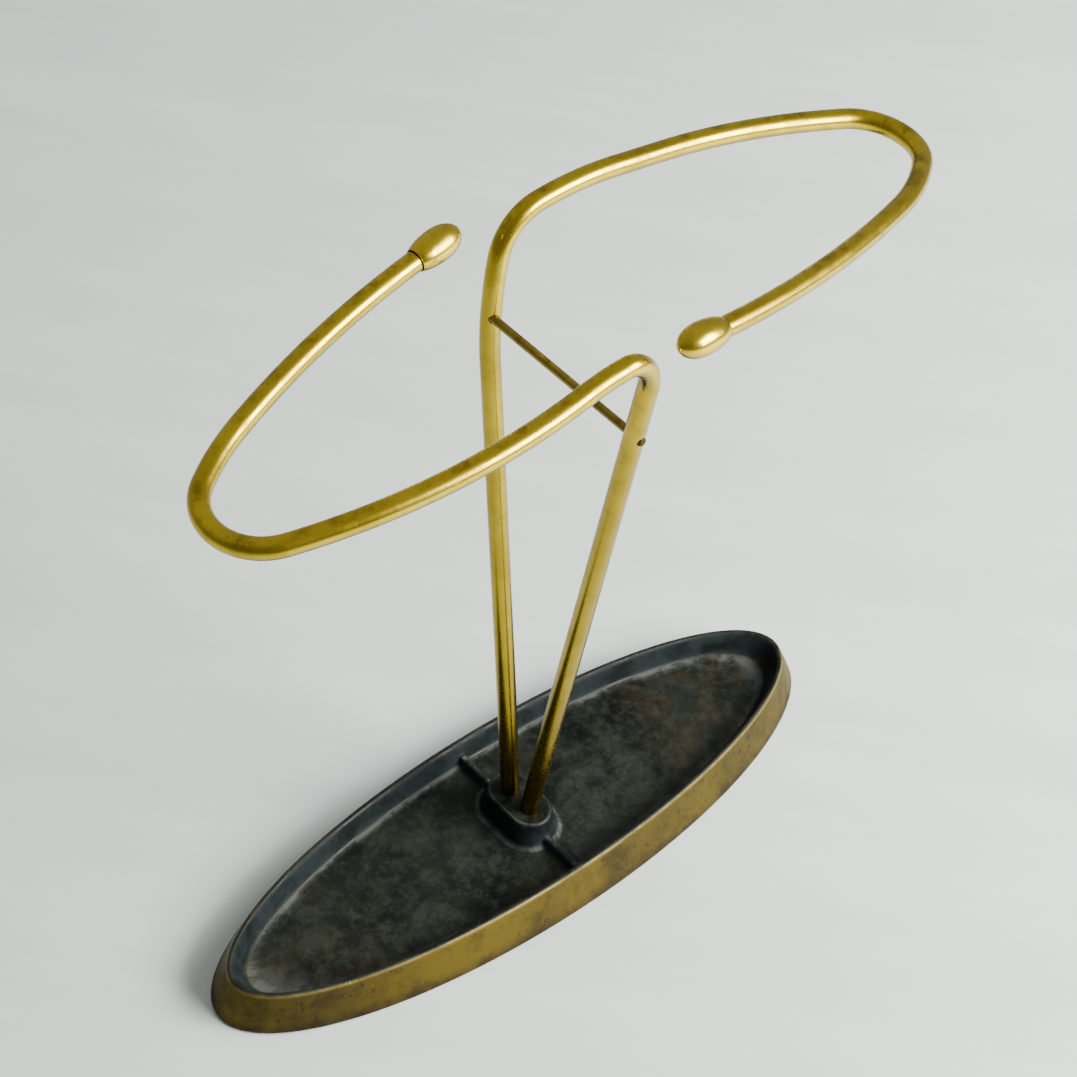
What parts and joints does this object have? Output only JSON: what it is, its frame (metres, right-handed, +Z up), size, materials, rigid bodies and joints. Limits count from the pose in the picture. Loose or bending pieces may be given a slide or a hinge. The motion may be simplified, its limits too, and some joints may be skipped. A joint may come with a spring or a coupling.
{
  "type": "umbrella stand",
  "caption": "Umbrella stand with an oval cast-iron drip tray, two leaning brass tubes bent into open hoops, egg finials and a thin crossbar.",
  "frame": {"origin": "on the floor, under the middle of the whole stand's box; the tray's own centre is 10.3 mm towards -X and 4 mm towards +Y, because the two hand-bent hoops don't reach equally far", "axes": "+X along the tray, towards the rear hoop; +Y across the tray, towards the rear upright; +Z up"},
  "size_m": [0.4693, 0.1452, 0.43],
  "materials": {
    "cast_iron_black": "black, worn and dusty, with a dull olive-brass outer wall",
    "brass_tube": "satin, patinated",
    "brass_turned": "satin",
    "brass_rod": "dull, darkened",
    "steel_fixing": "plain"
  },
  "bodies": {
    "root": {"base_tray": "cast_iron_black", "rear_hoop_tube": "brass_tube", "front_hoop_tube": "brass_tube", "rear_finial": "brass_turned", "front_finial": "brass_turned", "crossbar": "brass_rod", "rear_finial_spigot": "brass_rod", "front_finial_spigot": "brass_rod", "rear_foot_plug": "brass_rod", "front_foot_plug": "brass_rod", "rear_base_screw": "steel_fixing", "front_base_screw": "steel_fixing", "rear_base_washer": "steel_fixing", "front_base_washer": "steel_fixing"}
  },
  "joints": []
}
